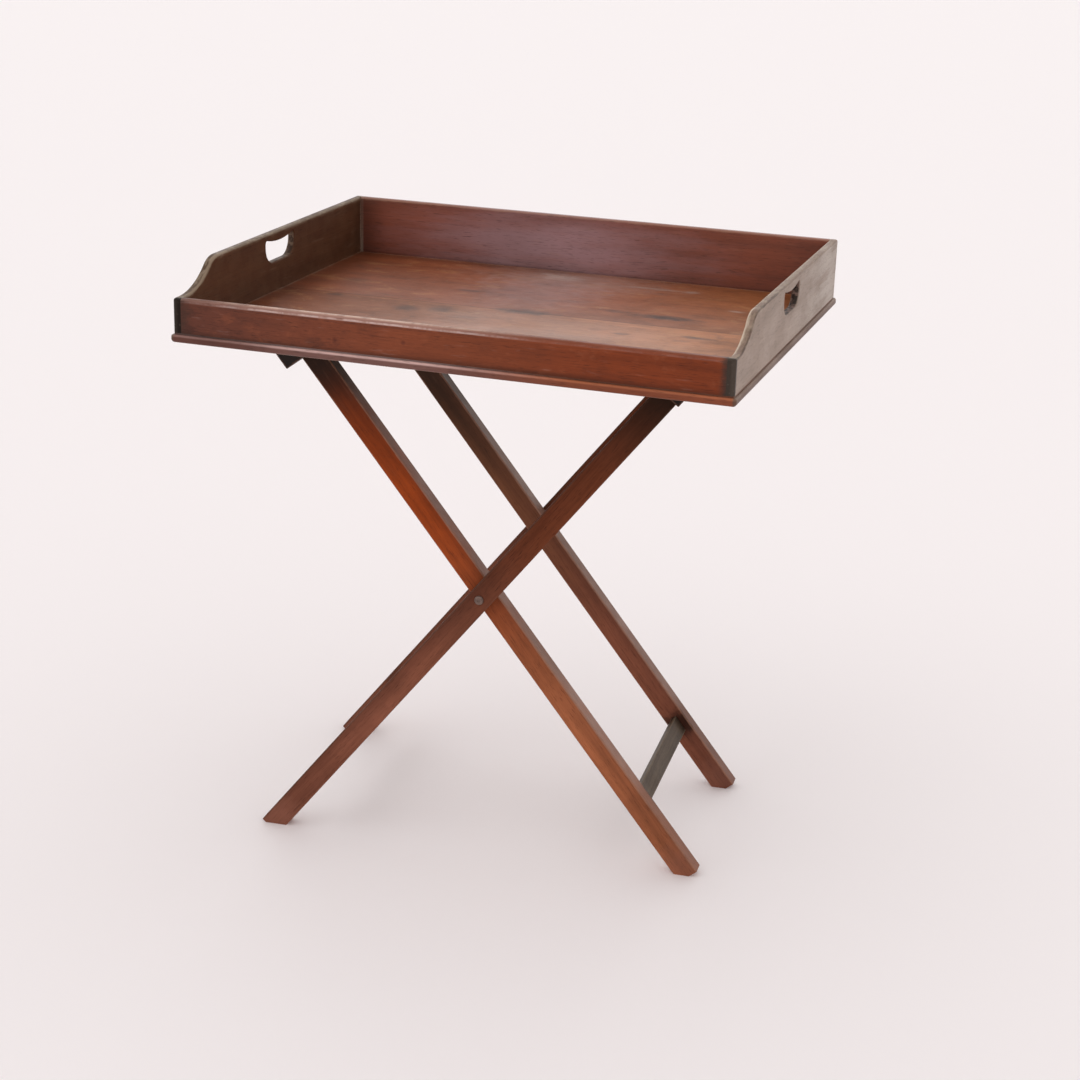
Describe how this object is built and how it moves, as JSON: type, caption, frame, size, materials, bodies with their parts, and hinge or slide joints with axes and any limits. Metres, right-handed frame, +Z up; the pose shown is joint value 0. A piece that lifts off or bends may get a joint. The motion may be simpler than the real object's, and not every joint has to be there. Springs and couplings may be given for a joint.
{
  "type": "butlers tray table",
  "caption": "Rectangular wooden butler's tray with a raised gallery and hand holes, lying loose on webbing straps across a folding cross-legged wooden stand.",
  "frame": {"origin": "on the floor under the middle of the tray", "axes": "+X along the tray to the right as seen from its low front rail, +Y from the front rail to the back rail, +Z up"},
  "size_m": [0.767, 0.617, 0.8323],
  "materials": {
    "tray_base_wood": "worn wax",
    "gallery_wood": "worn wax",
    "stand_wood": "worn wax",
    "fixings": "dulled",
    "pivot_iron": "dulled",
    "webbing": "woven jute"
  },
  "bodies": {
    "outer_frame": {"outer_leg_front": "stand_wood", "outer_leg_rear": "stand_wood", "outer_top_rail": "stand_wood", "outer_stretcher": "stand_wood", "outer_strap_ends": "webbing", "outer_strap_tacks": "fixings", "pivot_bolt_front": "pivot_iron", "pivot_bolt_rear": "pivot_iron", "pivot_spacers": "pivot_iron", "pivot_burrs": "pivot_iron", "pivot_nuts": "pivot_iron"},
    "inner_frame": {"inner_leg_front": "stand_wood", "inner_leg_rear": "stand_wood", "inner_top_rail": "stand_wood", "inner_stretcher": "stand_wood", "inner_strap_ends": "webbing", "inner_strap_tacks": "fixings"},
    "straps": {"front_strap": "webbing", "rear_strap": "webbing"},
    "tray": {"base_board_front": "tray_base_wood", "base_board_rear": "tray_base_wood", "front_rail": "gallery_wood", "back_rail": "gallery_wood", "left_end": "gallery_wood", "right_end": "gallery_wood", "corner_brads": "fixings", "base_screws": "fixings"}
  },
  "joints": [
    {"name": "stand_fold", "type": "hinge", "parent": "outer_frame", "child": "inner_frame", "pos_m": [0, 0, 0.3865], "axis": [-0.0698, 0.9976, 0], "range_deg": [0, 70], "deforming": ["front_strap", "rear_strap"]},
    {"name": "strap_follow", "type": "hinge", "parent": "outer_frame", "child": "straps", "pos_m": [0.2972, 0.02078, 0.73228], "axis": [-0.0698, 0.9976, 0], "range_deg": [0, 35]},
    {"name": "tray_lift", "type": "slide", "parent": "straps", "child": "tray", "axis": [0, 0, 1], "range_m": [0, 0.4]}
  ],
  "couplings": [
    {"joint": "strap_follow", "follows": "stand_fold", "ratio": 0.5}
  ]
}
